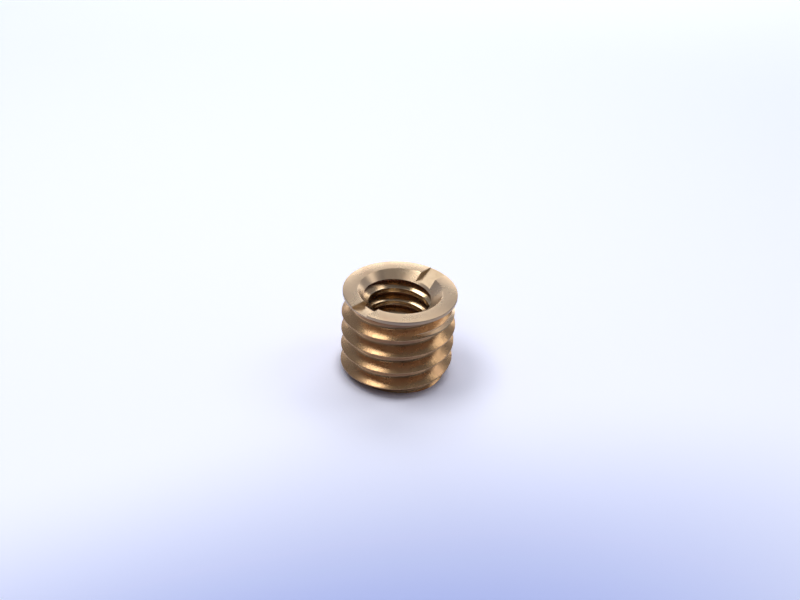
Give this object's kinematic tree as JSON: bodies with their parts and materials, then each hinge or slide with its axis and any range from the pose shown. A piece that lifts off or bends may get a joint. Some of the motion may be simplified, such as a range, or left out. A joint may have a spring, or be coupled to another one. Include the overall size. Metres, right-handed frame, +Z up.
{
  "type": "reducer bushing",
  "caption": "Short brass sleeve that screws into a 3/8 inch tapped hole and takes a 1/4 inch screw, with a thin flush rim and a driving slot across its countersunk top.",
  "frame": {"origin": "centre of the lower end, on the axis, where the part rests", "axes": "+Z up the axis, from the lower end to the slotted top face; +X along the driving slot"},
  "size_m": [0.0094, 0.0094, 0.0075],
  "materials": {
    "brass": "turned bare brass, satin, with tool marks"
  },
  "bodies": {
    "root": {"bushing": "brass"}
  },
  "joints": []
}
